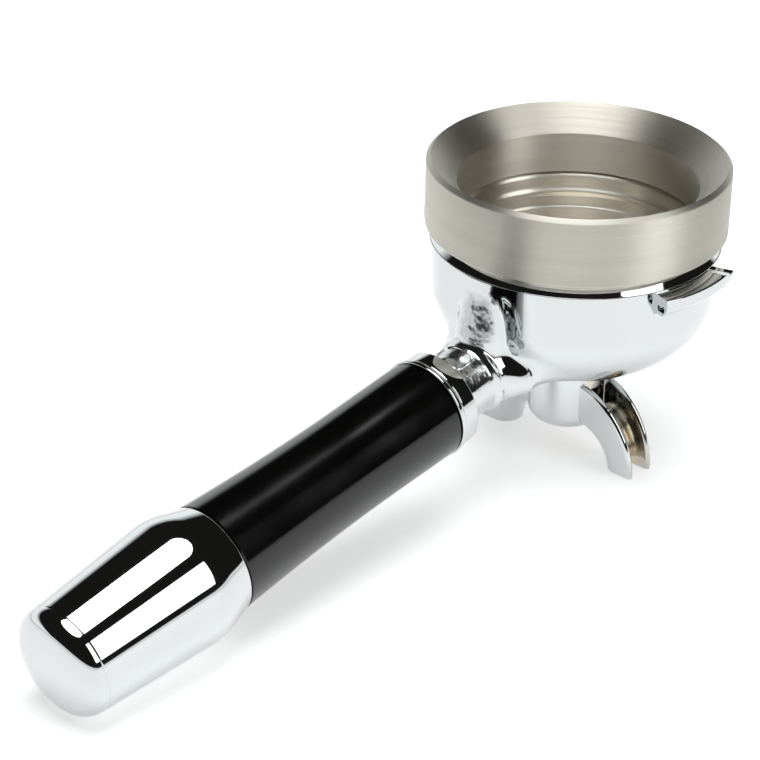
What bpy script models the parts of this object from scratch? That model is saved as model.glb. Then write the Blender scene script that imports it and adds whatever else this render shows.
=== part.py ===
"""A 58 mm portafilter with a dosing funnel on its basket, as separate pieces on two axes.

Lengths are in millimetres and are turned into metres where a mesh is made. The bowl stands on a
vertical axis. The handle lies on a second axis that leaves the bowl towards -Y and dips to the table.
"""

import math

import bmesh
import bpy
from mathutils import Vector

MM = 0.001
ROUND = 48
SMALL_ROUND = 32

# Where the two axes stand. The spout tips and the underside of the end cap are at height 0.
BOWL_Y = 65.69
HANDLE_HEIGHT = 37.48
HANDLE_DIP = math.radians(8.6)

# Bowl of the body.
RIM_R = 34.0
RIM_TOP = 58.9
LEDGE_R = 35.1
LEDGE_TOP = 56.6
BORE_R = 30.0
LAND_R = 9.9
LAND_Z = 24.0
OUTLET_R = 8.6
OUTLET_TOP = 28.2
GROOVE_R = 31.4
GROOVE_Z = 55.3
GROOVE_HEIGHT = 1.8

# Bayonet lugs, on +X and -X.
LUG_R = 39.8
LUG_ROOT_R = 33.0
LUG_TOP = 56.4
LUG_BOTTOM = 51.8
LUG_CHAMFER = 1.6
LUG_HALF_ANGLE = math.radians(18.7)
LUG_STEPS = 6

# Neck, turned on the handle axis, and the rib that runs from it up the bowl.
NECK_ROOT = 12.0
NECK_ROOT_R = 8.2
NECK_R = 8.9
NECK_BEAD_R = 9.5
NECK_BEAD = 37.2
NECK_END = 47.8
ROD_HOLE_R = 5.0
ROD_HOLE_START = 36.5
RIB_Y = -28.0
RIB_R = 10.3
RIB_HALF_WIDTH = 14.0
RIB_BASE = 31.5
RIB_SHOULDER = 45.0
RIB_TOP = 56.3

# Filter basket.
BASKET_R = 29.5
BASKET_WALL = 0.7
BASKET_FLOOR = 38.6
BASKET_CORNER = 3.0
FLANGE_R = 34.7
FLANGE_BOTTOM = 59.2
FLANGE_TOP = 60.2
LIP_R = 1.3
BEAD_DEPTH = 0.7
BEAD_HALF = 1.0
HOLE_R = 0.6
HOLE_PITCH = 6.6
HOLE_RINGS = 3

# Retaining spring of the basket.
SPRING_R = 30.55
SPRING_WIRE_R = 0.5
SPRING_GAP = math.radians(24.0)

# Dosing funnel.
FUNNEL_R = 36.3
FUNNEL_TOP = 76.8
FUNNEL_BOTTOM = 59.9
MOUTH_R = 35.0
MOUTH_CHAMFER = 0.85
THROAT_R = 28.85
THROAT_TOP = 70.75
SEAT_Z = 60.5
SKIRT_BORE_R = 35.1
BAND_CHAMFER = 0.5

# Handle pieces. Distances are measured along the handle axis from the bowl's axis.
COLLAR_START = 48.1
COLLAR_END = 53.4
COLLAR_R = 11.55
COLLAR_FLANGE_R = 12.1
COLLAR_STEP = 51.9
GRIP_START = 53.7
GRIP_END = 122.4
GRIP_R = 12.05
GRIP_WAIST_R = 11.8
GRIP_WAIST = 81.0
GRIP_END_R = 13.1
GRIP_BORE_R = 5.3
POCKET_START = 109.0
POCKET_R = 9.4
CAP_START = 122.7
CAP_BEND = 131.4
CAP_BEND_R = 15.25
CAP_SHOULDER = 163.9
CAP_SHOULDER_R = 13.0
CAP_END = 168.8
CAP_WALL = 2.0
CAP_POST_R = 7.4
CAP_POST_START = 123.2
CAP_FLOOR = 160.0
CAP_THREAD_END = 135.0
ROD_R = 4.7
ROD_START = 37.2
ROD_END = 133.0
WASHER_R = 8.8
WASHER_HOLE_R = 5.2
WASHER_START = 109.4
WASHER_END = 111.0
LOCK_RING_R = 7.9
LOCK_RING_START = 111.3
LOCK_RING_END = 113.1
NUT_R = 8.6
NUT_START = 113.4
NUT_END = 120.4

# Twin spout and its seal.
SEAL_R = 9.6
SEAL_TOP = 23.7
SEAL_BOTTOM = 22.6
SEAL_HOLE_R = 8.4
HUB_R = 9.5
HUB_TOP = 22.3
HUB_BOTTOM = 7.4
HUB_FILLET = 3.4
NIPPLE_R = 8.1
NIPPLE_TOP = 28.8
SPOUT_BORE_R = 5.8
SPOUT_BORE_FLOOR = 12.0
WINDOW_TOP = 19.0
WINDOW_HALF = 3.2
ARM_ROOT_HALF = 5.3
ARM_TIP_HALF = 4.4
ARM_WALL = 1.4
ARM_FLOOR = 2.0
# Each pair is (distance from the bowl's axis, height) in the plane of the two arms.
ARM_EDGE = ((6.0, 20.6), (10.6, 19.8), (14.4, 18.0), (18.4, 14.6), (21.6, 10.3), (23.5, 5.4), (24.2, 0.0))
ARM_BACK = ((5.0, 8.6), (8.0, 8.2), (10.3, 7.3), (12.3, 5.9), (13.8, 4.1), (14.7, 2.1), (15.2, 0.0))


def clear_scene():
    for item in list(bpy.data.objects):
        bpy.data.objects.remove(item, do_unlink=True)


def finish(name, colour, roughness, metallic):
    material = bpy.data.materials.new(name)
    material.use_nodes = True
    shader = material.node_tree.nodes["Principled BSDF"]
    shader.inputs["Base Color"].default_value = (*colour, 1.0)
    shader.inputs["Roughness"].default_value = roughness
    shader.inputs["Metallic"].default_value = metallic
    return material


def add_empty(name, location, turn):
    """An empty that stands on one of the two axes and carries the pieces turned on it."""
    empty = bpy.data.objects.new(name, None)
    empty.location = Vector(location) * MM
    empty.rotation_euler = (turn, 0.0, 0.0)
    bpy.context.scene.collection.objects.link(empty)
    return empty


def add_object(name, bm, parent, material=None):
    """Turns a bmesh in millimetres into an object in metres, with its faces pointing outwards."""
    bmesh.ops.remove_doubles(bm, verts=bm.verts, dist=1e-4)
    bmesh.ops.recalc_face_normals(bm, faces=bm.faces)
    bmesh.ops.scale(bm, vec=(MM, MM, MM), verts=bm.verts)
    mesh = bpy.data.meshes.new(name)
    bm.to_mesh(mesh)
    bm.free()
    mesh.shade_smooth()
    mesh.set_sharp_from_angle(angle=math.radians(35))
    obj = bpy.data.objects.new(name, mesh)
    bpy.context.scene.collection.objects.link(obj)
    obj.parent = parent
    if material:
        mesh.materials.append(material)
    return obj


def arc(centre, radius, start, end, steps):
    """Points on a circular arc in the (radius, height) plane, from one angle to another in degrees."""
    angles = [math.radians(start + (end - start) * i / steps) for i in range(steps + 1)]
    return [(centre[0] + radius * math.cos(a), centre[1] + radius * math.sin(a)) for a in angles]


def smooth_step(t):
    return t * t * (3.0 - 2.0 * t)


def turned(outline, segments=ROUND):
    """A closed outline of (radius, height) points, spun once round the local Z axis."""
    bm = bmesh.new()
    points = [bm.verts.new((radius, 0.0, height)) for radius, height in outline]
    count = len(points)
    edges = []
    for i in range(count):
        start, end = points[i], points[(i + 1) % count]
        if start.co.x > 0.0 or end.co.x > 0.0:
            edges.append(bm.edges.new((start, end)))
    bmesh.ops.spin(
        bm, geom=edges, cent=(0, 0, 0), axis=(0, 0, 1), angle=math.tau, steps=segments, use_merge=True
    )
    bmesh.ops.remove_doubles(bm, verts=bm.verts, dist=1e-4)
    return bm


def helper(obj):
    """Marks an object that only shapes another one."""
    obj.hide_render = True
    obj.display_type = "WIRE"
    return obj


def shape_with(target, tool, operation):
    modifier = target.modifiers.new(operation.title() + " " + tool.name, "BOOLEAN")
    modifier.operation = operation
    modifier.solver = "EXACT"
    modifier.object = helper(tool)


def bowl_outline():
    """The bowl's outside as a solid of revolution, from the rim down to the flat round the outlet."""
    return [
        (0.0, RIM_TOP),
        (RIM_R - 0.4, RIM_TOP),
        (RIM_R, RIM_TOP - 0.4),
        (RIM_R, LEDGE_TOP + 0.3),
        (RIM_R + 0.3, LEDGE_TOP),
        (LEDGE_R - 0.4, LEDGE_TOP),
        (LEDGE_R, LEDGE_TOP - 0.4),
        (34.9, 52.0),
        (34.5, 45.0),
        (34.2, 42.0),
        (33.5, 39.3),
        (32.1, 36.9),
        (29.8, 34.5),
        (26.4, 31.5),
        (22.5, 28.8),
        (18.2, 26.6),
        (14.0, 25.0),
        (LAND_R, LAND_Z),
        (0.0, LAND_Z),
    ]


def bowl_cavity_outline():
    """The bore for the basket, its spring groove, the dish under it and the outlet, as one cutter."""
    top = RIM_TOP + 1.0
    half = GROOVE_HEIGHT / 2
    return [
        (0.0, top),
        (BORE_R + 1.6, top),
        (BORE_R + 0.6, RIM_TOP),
        (BORE_R, RIM_TOP - 0.6),
        (BORE_R, GROOVE_Z + half),
        (GROOVE_R, GROOVE_Z + half),
        (GROOVE_R, GROOVE_Z - half),
        (BORE_R, GROOVE_Z - half),
        (BORE_R, 41.0),
        (28.7, 38.2),
        (26.2, 35.8),
        (22.6, 33.2),
        (18.2, 30.9),
        (13.4, 29.2),
        (OUTLET_R, OUTLET_TOP),
        (OUTLET_R, LAND_Z - 1.0),
        (0.0, LAND_Z - 1.0),
    ]


def neck_outline():
    """The neck and its bead, along the handle axis."""
    flare = []
    steps = 5
    for i in range(steps):
        t = i / steps
        radius = NECK_ROOT_R + (NECK_R + 0.2 - NECK_ROOT_R) * smooth_step(t)
        flare.append((radius, NECK_ROOT + (NECK_BEAD - 0.9 - NECK_ROOT) * t))
    return [
        (0.0, NECK_ROOT),
        *flare,
        (NECK_R + 0.2, NECK_BEAD - 0.9),
        (NECK_BEAD_R, NECK_BEAD - 0.5),
        (NECK_BEAD_R, NECK_BEAD + 0.5),
        (NECK_R, NECK_BEAD + 1.0),
        (NECK_R, NECK_END - 0.4),
        (NECK_R - 0.4, NECK_END),
        (0.0, NECK_END),
    ]


def rib_mesh():
    """A wide oval post with a domed top, which stands a little proud of the bowl above the neck."""
    height = RIB_TOP - RIB_SHOULDER
    steps = 6
    dome = []
    for i in range(1, steps):
        angle = math.pi / 2 * i / steps
        dome.append((RIB_R * math.cos(angle), RIB_SHOULDER + height * math.sin(angle)))
    outline = [(0.0, RIB_BASE), (RIB_R, RIB_BASE), (RIB_R, RIB_SHOULDER), *dome, (0.0, RIB_TOP)]
    bm = turned(outline, SMALL_ROUND)
    bmesh.ops.scale(bm, vec=(RIB_HALF_WIDTH / RIB_R, 1.0, 1.0), verts=bm.verts)
    bmesh.ops.translate(bm, vec=(0.0, RIB_Y, 0.0), verts=bm.verts)
    return bm


def lug_mesh(side):
    """One bayonet lug: a curved bar with a flat top, a flat underside and a chamfer below its outer wall."""
    section = [
        (LUG_ROOT_R, LUG_TOP),
        (LUG_R, LUG_TOP),
        (LUG_R, LUG_BOTTOM + LUG_CHAMFER),
        (LUG_R - LUG_CHAMFER, LUG_BOTTOM),
        (LUG_ROOT_R, LUG_BOTTOM),
    ]
    start = -LUG_HALF_ANGLE + (math.pi if side < 0 else 0.0)
    bm = bmesh.new()
    ring = [bm.verts.new((r * math.cos(start), r * math.sin(start), z)) for r, z in section]
    face = bm.faces.new(ring)
    bmesh.ops.spin(
        bm, geom=[face], cent=(0, 0, 0), axis=(0, 0, 1), angle=2 * LUG_HALF_ANGLE, steps=LUG_STEPS
    )
    return bm


def make_body(bowl_axis, handle_axis, chrome):
    """The one-piece forged body: bowl, two lugs, neck and rib, then its bore and its threaded hole."""
    body = add_object("body", turned(bowl_outline()), bowl_axis, chrome)
    neck = add_object("neck_form", turned(neck_outline(), SMALL_ROUND), handle_axis)
    rib = add_object("rib_form", rib_mesh(), bowl_axis)
    shape_with(body, neck, "UNION")
    shape_with(body, rib, "UNION")
    for side, name in ((1, "right_lug_form"), (-1, "left_lug_form")):
        shape_with(body, add_object(name, lug_mesh(side), bowl_axis), "UNION")
    cavity = add_object("cavity_form", turned(bowl_cavity_outline()), bowl_axis)
    shape_with(body, cavity, "DIFFERENCE")
    start, end = ROD_HOLE_START, NECK_END + 1
    hole = [(0.0, start), (ROD_HOLE_R, start), (ROD_HOLE_R, end), (0.0, end)]
    shape_with(body, add_object("rod_hole_form", turned(hole, SMALL_ROUND), handle_axis), "DIFFERENCE")
    return body


def basket_outline():
    """The basket's sheet, outside then inside, with a rolled bead that the spring snaps into."""
    wall = BASKET_WALL
    inner_r = BASKET_R - wall
    corner = BASKET_CORNER
    outside = [
        (FLANGE_R, FLANGE_TOP - 0.2),
        (FLANGE_R, FLANGE_BOTTOM),
        (BASKET_R + 0.2, FLANGE_BOTTOM),
        (BASKET_R, FLANGE_BOTTOM - 0.3),
        (BASKET_R, GROOVE_Z + BEAD_HALF),
        (BASKET_R - BEAD_DEPTH, GROOVE_Z),
        (BASKET_R, GROOVE_Z - BEAD_HALF),
        *arc((BASKET_R - corner, BASKET_FLOOR + corner), corner, 0, -90, 3),
        (0.0, BASKET_FLOOR),
    ]
    inside = [
        (0.0, BASKET_FLOOR + wall),
        *arc((BASKET_R - corner, BASKET_FLOOR + corner), corner - wall, -90, 0, 3),
        (inner_r, GROOVE_Z - BEAD_HALF),
        (inner_r - BEAD_DEPTH, GROOVE_Z),
        (inner_r, GROOVE_Z + BEAD_HALF),
        *arc((inner_r + LIP_R, FLANGE_TOP - LIP_R), LIP_R, 180, 90, 3),
        (FLANGE_R - 0.2, FLANGE_TOP),
    ]
    return outside + inside


def hole_cutter():
    """Short posts on a triangular grid, which punch the holes in the basket's floor."""
    bm = bmesh.new()
    for row in range(-HOLE_RINGS, HOLE_RINGS + 1):
        for column in range(-HOLE_RINGS, HOLE_RINGS + 1):
            if abs(row + column) > HOLE_RINGS:
                continue
            x = HOLE_PITCH * (column + row / 2)
            y = HOLE_PITCH * row * math.sqrt(3) / 2
            made = bmesh.ops.create_cone(
                bm, cap_ends=True, segments=6, radius1=HOLE_R, radius2=HOLE_R, depth=BASKET_WALL * 3
            )
            bmesh.ops.translate(bm, vec=(x, y, BASKET_FLOOR + BASKET_WALL / 2), verts=made["verts"])
    return bm


def make_basket(bowl_axis, steel):
    basket = add_object("filter_basket", turned(basket_outline()), bowl_axis, steel)
    shape_with(basket, add_object("hole_form", hole_cutter(), bowl_axis), "DIFFERENCE")
    return basket


def make_spring(bowl_axis, steel):
    """The open wire ring in the bowl's groove."""
    steps = 48
    curve = bpy.data.curves.new("basket_spring", "CURVE")
    curve.dimensions = "3D"
    curve.bevel_depth = SPRING_WIRE_R * MM
    curve.bevel_resolution = 1
    curve.use_fill_caps = True
    spline = curve.splines.new("POLY")
    spline.points.add(steps)
    for i, point in enumerate(spline.points):
        angle = -math.pi / 2 + SPRING_GAP / 2 + (math.tau - SPRING_GAP) * i / steps
        x, y = SPRING_R * math.cos(angle), SPRING_R * math.sin(angle)
        point.co = (x * MM, y * MM, GROOVE_Z * MM, 1.0)
    curve.materials.append(steel)
    spring = bpy.data.objects.new("basket_spring", curve)
    bpy.context.scene.collection.objects.link(spring)
    spring.parent = bowl_axis
    return spring


def make_funnel(bowl_axis, steel):
    """The turned ring: a cone and a throat inside, a plain band outside and a step that caps the flange."""
    outline = [
        (MOUTH_R, FUNNEL_TOP),
        (FUNNEL_R, FUNNEL_TOP - MOUTH_CHAMFER),
        (FUNNEL_R, FUNNEL_BOTTOM + BAND_CHAMFER),
        (FUNNEL_R - BAND_CHAMFER, FUNNEL_BOTTOM),
        (SKIRT_BORE_R, FUNNEL_BOTTOM),
        (SKIRT_BORE_R, SEAT_Z),
        (THROAT_R, SEAT_Z),
        (THROAT_R, THROAT_TOP),
    ]
    return add_object("dosing_funnel", turned(outline), bowl_axis, steel)


def make_collar(handle_axis, chrome):
    outline = [
        (GRIP_BORE_R, COLLAR_START),
        (COLLAR_R - 0.4, COLLAR_START),
        (COLLAR_R, COLLAR_START + 0.4),
        (COLLAR_R, COLLAR_STEP - 0.3),
        (COLLAR_R - 0.3, COLLAR_STEP),
        (COLLAR_FLANGE_R - 0.3, COLLAR_STEP + 0.2),
        (COLLAR_FLANGE_R, COLLAR_STEP + 0.6),
        (COLLAR_FLANGE_R, COLLAR_END - 0.3),
        (COLLAR_FLANGE_R - 0.3, COLLAR_END),
        (GRIP_BORE_R, COLLAR_END),
    ]
    return add_object("front_collar", turned(outline), handle_axis, chrome)


def grip_radius(distance):
    """The grip's waisted radius: eased down to the waist, then eased up to the end cap."""
    if distance < GRIP_WAIST:
        t = (distance - GRIP_START) / (GRIP_WAIST - GRIP_START)
        return GRIP_R + (GRIP_WAIST_R - GRIP_R) * smooth_step(t)
    t = (distance - GRIP_WAIST) / (GRIP_END - GRIP_WAIST)
    return GRIP_WAIST_R + (GRIP_END_R - GRIP_WAIST_R) * t**1.8


def make_grip(handle_axis, plastic):
    steps = 10
    side = []
    for i in range(steps + 1):
        distance = GRIP_START + (GRIP_END - GRIP_START) * i / steps
        side.append((grip_radius(distance), distance))
    outline = [
        (GRIP_BORE_R, GRIP_START),
        *side,
        (POCKET_R, GRIP_END),
        (POCKET_R, POCKET_START),
        (GRIP_BORE_R, POCKET_START),
    ]
    return add_object("grip", turned(outline), handle_axis, plastic)


def cap_nose(end, steps):
    """The cap's rounded end: a third-power oval quarter from its shoulder to the axis."""
    reach = end - CAP_SHOULDER
    points = []
    for i in range(1, steps):
        t = math.sin(math.pi / 2 * i / steps)
        points.append((CAP_SHOULDER_R * (1.0 - t**3) ** (1 / 3), CAP_SHOULDER + reach * t))
    return points


def make_end_cap(handle_axis, chrome):
    """The hollow cap, with a post inside that screws onto the tie rod."""
    inner_start_r = GRIP_END_R - CAP_WALL
    outline = [
        (inner_start_r, CAP_START),
        (GRIP_END_R, CAP_START),
        (CAP_BEND_R - 0.35, CAP_BEND - 1.4),
        (CAP_BEND_R, CAP_BEND),
        (CAP_BEND_R - 0.05, CAP_BEND + 1.6),
        (CAP_SHOULDER_R, CAP_SHOULDER),
        *cap_nose(CAP_END, 6),
        (0.0, CAP_END),
        (0.0, CAP_THREAD_END),
        (ROD_HOLE_R, CAP_THREAD_END),
        (ROD_HOLE_R, CAP_POST_START),
        (CAP_POST_R, CAP_POST_START),
        (CAP_POST_R, CAP_FLOOR),
        (CAP_SHOULDER_R - CAP_WALL - 0.6, CAP_FLOOR),
        (CAP_BEND_R - CAP_WALL, CAP_BEND),
    ]
    return add_object("end_cap", turned(outline), handle_axis, chrome)


def make_washer(name, handle_axis, start, end, radius, material):
    outline = [(WASHER_HOLE_R, start), (radius, start), (radius, end), (WASHER_HOLE_R, end)]
    return add_object(name, turned(outline, SMALL_ROUND), handle_axis, material)


def make_nut(handle_axis, steel):
    """The hexagon nut, bored on the tie rod."""
    bm = bmesh.new()
    middle = (NUT_START + NUT_END) / 2
    height = NUT_END - NUT_START
    bmesh.ops.create_cone(bm, cap_ends=True, segments=6, radius1=NUT_R, radius2=NUT_R, depth=height)
    bmesh.ops.translate(bm, vec=(0, 0, middle), verts=bm.verts)
    nut = add_object("rod_nut", bm, handle_axis, steel)
    bore = [(0.0, NUT_START - 1), (ROD_HOLE_R, NUT_START - 1), (ROD_HOLE_R, NUT_END + 1), (0.0, NUT_END + 1)]
    shape_with(nut, add_object("nut_bore_form", turned(bore, SMALL_ROUND), handle_axis), "DIFFERENCE")
    return nut


def make_rod(handle_axis, steel):
    outline = [
        (0.0, ROD_START),
        (ROD_R - 0.7, ROD_START),
        (ROD_R, ROD_START + 0.7),
        (ROD_R, ROD_END - 0.7),
        (ROD_R - 0.7, ROD_END),
        (0.0, ROD_END),
    ]
    return add_object("tie_rod", turned(outline, SMALL_ROUND), handle_axis, steel)


def make_seal(bowl_axis, rubber):
    outline = [(SEAL_HOLE_R, SEAL_TOP), (SEAL_R, SEAL_TOP), (SEAL_R, SEAL_BOTTOM), (SEAL_HOLE_R, SEAL_BOTTOM)]
    return add_object("spout_seal", turned(outline), bowl_axis, rubber)


def hub_outline():
    """The spout's hub and the nipple that screws up into the bowl."""
    return [
        (0.0, NIPPLE_TOP),
        (NIPPLE_R - 0.5, NIPPLE_TOP),
        (NIPPLE_R, NIPPLE_TOP - 0.5),
        (NIPPLE_R, HUB_TOP),
        (HUB_R - 0.3, HUB_TOP),
        (HUB_R, HUB_TOP - 0.3),
        *arc((HUB_R - HUB_FILLET, HUB_BOTTOM + HUB_FILLET), HUB_FILLET, 0, -90, 5),
        (0.0, HUB_BOTTOM),
    ]


def arm_section(edge, back, half):
    """The U of one arm between a point on its open edge and one on its back, widest at its middle."""
    edge, back = Vector(edge), Vector(back)
    depth = (edge - back).length
    across = (edge - back) / depth
    inner = half - ARM_WALL
    corner = ARM_FLOOR + 1.4
    shape = [
        (half * 0.45, 0.0),
        (half * 0.86, 0.9),
        (half, 2.6),
        (half, depth - 0.4),
        (half - 0.4, depth),
        (inner, depth),
        (inner, corner),
        (inner * 0.5, ARM_FLOOR),
    ]
    mirrored = [(-y, rise) for y, rise in reversed(shape)]
    points = []
    for y, rise in shape + mirrored:
        place = back + across * rise
        points.append((place.x, y, place.y))
    return points


def arm_mesh(side):
    """One arm: its U is carried along the two curves and closed at both ends."""
    bm = bmesh.new()
    rings = []
    last = len(ARM_EDGE) - 1
    for i, (edge, back) in enumerate(zip(ARM_EDGE, ARM_BACK)):
        half = ARM_ROOT_HALF + (ARM_TIP_HALF - ARM_ROOT_HALF) * i / last
        ring = [bm.verts.new((side * x, y, z)) for x, y, z in arm_section(edge, back, half)]
        rings.append(ring)
    for first, second in zip(rings, rings[1:]):
        for i in range(len(first)):
            j = (i + 1) % len(first)
            bm.faces.new((first[i], first[j], second[j], second[i]))
    bm.faces.new(rings[0])
    bm.faces.new(rings[-1])
    return bm


def box_mesh(low, high):
    bm = bmesh.new()
    bmesh.ops.create_cube(bm, size=1.0)
    centre = [(a + b) / 2 for a, b in zip(low, high)]
    bmesh.ops.scale(bm, vec=[b - a for a, b in zip(low, high)], verts=bm.verts)
    bmesh.ops.translate(bm, vec=centre, verts=bm.verts)
    return bm


def make_spout(bowl_axis, chrome):
    """The cast twin spout: hub, nipple and two open arms, bored from above and opened into both arms."""
    spout = add_object("twin_spout", turned(hub_outline()), bowl_axis, chrome)
    for side, name in ((1, "right_arm_form"), (-1, "left_arm_form")):
        shape_with(spout, add_object(name, arm_mesh(side), bowl_axis), "UNION")
    floor, top = SPOUT_BORE_FLOOR, NIPPLE_TOP + 1
    bore = [(0.0, floor), (SPOUT_BORE_R, floor), (SPOUT_BORE_R, top), (0.0, top)]
    shape_with(spout, add_object("spout_bore_form", turned(bore, SMALL_ROUND), bowl_axis), "DIFFERENCE")
    window = box_mesh((-HUB_R - 0.6, -WINDOW_HALF, floor), (HUB_R + 0.6, WINDOW_HALF, WINDOW_TOP))
    shape_with(spout, add_object("window_form", window, bowl_axis), "DIFFERENCE")
    return spout


def main():
    clear_scene()
    bowl_axis = add_empty("bowl_axis", (0.0, BOWL_Y, 0.0), 0.0)
    handle_axis = add_empty("handle_axis", (0.0, BOWL_Y, HANDLE_HEIGHT), math.pi / 2 + HANDLE_DIP)
    chrome = finish("chrome", (0.86, 0.87, 0.88), 0.06, 1.0)
    brushed = finish("brushed_steel", (0.62, 0.60, 0.57), 0.32, 1.0)
    pressed = finish("pressed_steel", (0.66, 0.65, 0.63), 0.25, 1.0)
    plain_steel = finish("plain_steel", (0.55, 0.55, 0.56), 0.40, 1.0)
    plastic = finish("gloss_plastic", (0.012, 0.012, 0.013), 0.12, 0.0)
    rubber = finish("rubber", (0.03, 0.03, 0.03), 0.70, 0.0)
    make_body(bowl_axis, handle_axis, chrome)
    make_basket(bowl_axis, pressed)
    make_spring(bowl_axis, plain_steel)
    make_funnel(bowl_axis, brushed)
    make_collar(handle_axis, chrome)
    make_grip(handle_axis, plastic)
    make_end_cap(handle_axis, chrome)
    make_washer("flat_washer", handle_axis, WASHER_START, WASHER_END, WASHER_R, plain_steel)
    make_washer("lock_washer", handle_axis, LOCK_RING_START, LOCK_RING_END, LOCK_RING_R, plain_steel)
    make_nut(handle_axis, plain_steel)
    make_rod(handle_axis, plain_steel)
    make_seal(bowl_axis, rubber)
    make_spout(bowl_axis, chrome)


main()
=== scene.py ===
"""A 58 mm portafilter with its dosing funnel, on a pale studio table.

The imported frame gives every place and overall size. Shapes are worked out in millimetres round one of
two axes, the bowl's and the handle's, and are turned into the frame's metres when a mesh is made.
"""

import functools
import math

import bmesh
import bpy
import numpy as np
from bpy.props import FloatProperty, FloatVectorProperty, PointerProperty
from mathutils import Euler, Matrix, Vector


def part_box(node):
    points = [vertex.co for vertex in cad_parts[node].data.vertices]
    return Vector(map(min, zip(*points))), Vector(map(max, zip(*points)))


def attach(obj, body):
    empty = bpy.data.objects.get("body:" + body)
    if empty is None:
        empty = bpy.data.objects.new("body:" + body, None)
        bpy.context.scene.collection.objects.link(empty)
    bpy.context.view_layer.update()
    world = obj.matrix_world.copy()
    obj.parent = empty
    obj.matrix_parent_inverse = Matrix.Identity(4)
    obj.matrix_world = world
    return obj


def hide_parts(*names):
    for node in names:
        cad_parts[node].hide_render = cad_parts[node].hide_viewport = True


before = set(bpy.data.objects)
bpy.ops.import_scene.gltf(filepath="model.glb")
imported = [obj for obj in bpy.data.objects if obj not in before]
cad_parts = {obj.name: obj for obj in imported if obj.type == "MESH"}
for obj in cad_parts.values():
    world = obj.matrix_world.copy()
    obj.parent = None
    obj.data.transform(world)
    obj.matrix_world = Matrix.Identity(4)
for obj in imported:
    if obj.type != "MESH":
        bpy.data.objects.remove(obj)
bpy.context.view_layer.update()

bl_info = {
    "name": "Portafilter",
    "version": (1, 0, 0),
    "blender": (4, 5, 0),
    "location": "3D View > Sidebar > Portafilter",
    "description": "Builds a portafilter with a dosing funnel round its packed frame",
    "category": "Add Mesh",
}

MM = 0.001


# ---------------------------------------------------------------- the frame


def read_all(collection, attribute, width=1, kind=np.int32):
    """One attribute of every item in a mesh's collection, with a row for each item when it is a vector."""
    values = np.empty(len(collection) * width, kind)
    collection.foreach_get(attribute, values)
    return values.reshape(-1, width) if width > 1 else values


def mesh_points(mesh):
    """A mesh's vertices in millimetres, as an (n, 3) array."""
    return read_all(mesh.vertices, "co", 3, np.float32).astype(float) / MM


def node_points(name):
    return mesh_points(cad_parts[name].data)


class BowlAxis:
    """The upright axis through the bowl. Its local frame has the axis as Z and is not turned."""

    def __init__(self):
        low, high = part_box("dosing_funnel")
        self.origin = np.array([0.0, (low.y + high.y) / 2 / MM, 0.0])
        self.turn = np.eye(3)

    def place(self, points):
        return points @ self.turn.T + self.origin

    def local(self, points):
        return (points - self.origin) @ self.turn

    def span(self, name):
        """(lowest, highest, widest radius) of a node along and round this axis."""
        points = self.local(node_points(name))
        radius = np.hypot(points[:, 0], points[:, 1])
        return points[:, 2].min(), points[:, 2].max(), radius.max()


class HandleAxis(BowlAxis):
    """The handle's axis: the long axis of the tie rod, measured outwards from the bowl's axis."""

    def __init__(self, bowl_axis):
        rod = node_points("tie_rod")
        centre = rod.mean(axis=0)
        along = np.linalg.svd(rod - centre)[2][0]
        along *= -np.sign(along[1])
        along[0] = 0.0
        along /= np.linalg.norm(along)
        self.origin = centre + along * (bowl_axis.origin[1] - centre[1]) / along[1]
        up = np.array([0.0, along[2], -along[1]])
        self.turn = np.stack([np.array([1.0, 0.0, 0.0]), up, along], axis=1)


BOWL = BowlAxis()
HANDLE = HandleAxis(BOWL)


# ---------------------------------------------------------------- settings


def length(name, description, default):
    default *= MM
    return FloatProperty(name=name, description=description, default=default, unit="LENGTH", precision=5)


def colour(name, description, default):
    return FloatVectorProperty(
        name=name, description=description, default=default, subtype="COLOR", size=3, min=0.0, max=1.0
    )


def share(name, description, default):
    options = {"min": 0.0, "max": 1.0, "subtype": "FACTOR"}
    return FloatProperty(name=name, description=description, default=default, **options)


def bearing(name, description, degrees):
    return FloatProperty(name=name, description=description, default=math.radians(degrees), subtype="ANGLE")


def radiance(name, description, default):
    return FloatProperty(name=name, description=description, default=default, min=0.0)


class PortafilterSizes(bpy.types.PropertyGroup):
    """Sizes of the visible pieces that the frame leaves open."""

    rim_radius: length("Rim radius", "Outside radius of the bowl's rim", 34.0)
    ledge_height: length("Ledge height", "Height of the ledge round the rim", 56.6)
    bore_radius: length("Bore radius", "Radius of the bore that takes the basket", 30.0)
    throat_radius: length("Throat radius", "Radius of the funnel's throat", 28.85)
    throat_height: length("Throat height", "Height where the cone meets the throat", 70.75)
    wall: length("Basket wall", "Thickness of the basket's sheet", 0.7)
    hole_radius: length("Hole radius", "Radius of the holes in the basket's floor", 0.36)
    hole_pitch: length("Hole pitch", "Distance between holes in the basket's floor", 1.75)
    neck_radius: length("Neck radius", "Radius of the neck below the collar", 8.9)
    rib_half_width: length("Rib half width", "Half of the rib's width", 7.9)


class PortafilterFinishes(bpy.types.PropertyGroup):
    """Colours of the finishes."""

    chrome: colour("Chrome", "Colour of the chrome plating", (0.61, 0.63, 0.63))
    brushed: colour("Brushed steel", "Colour of the funnel", (0.76, 0.735, 0.66))
    pressed: colour("Pressed steel", "Colour of the basket", (0.86, 0.82, 0.74))
    bare: colour("Bare channel", "Colour of the plating inside the spout arms", (0.60, 0.54, 0.44))
    plain: colour("Plain steel", "Colour of the fixings", (0.55, 0.55, 0.56))
    grip: colour("Grip", "Colour of the grip", (0.002, 0.002, 0.002))
    rubber: colour("Rubber", "Colour of the seal", (0.03, 0.03, 0.03))
    gloss: share("Chrome roughness", "Roughness of the chrome plating", 0.035)


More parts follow.
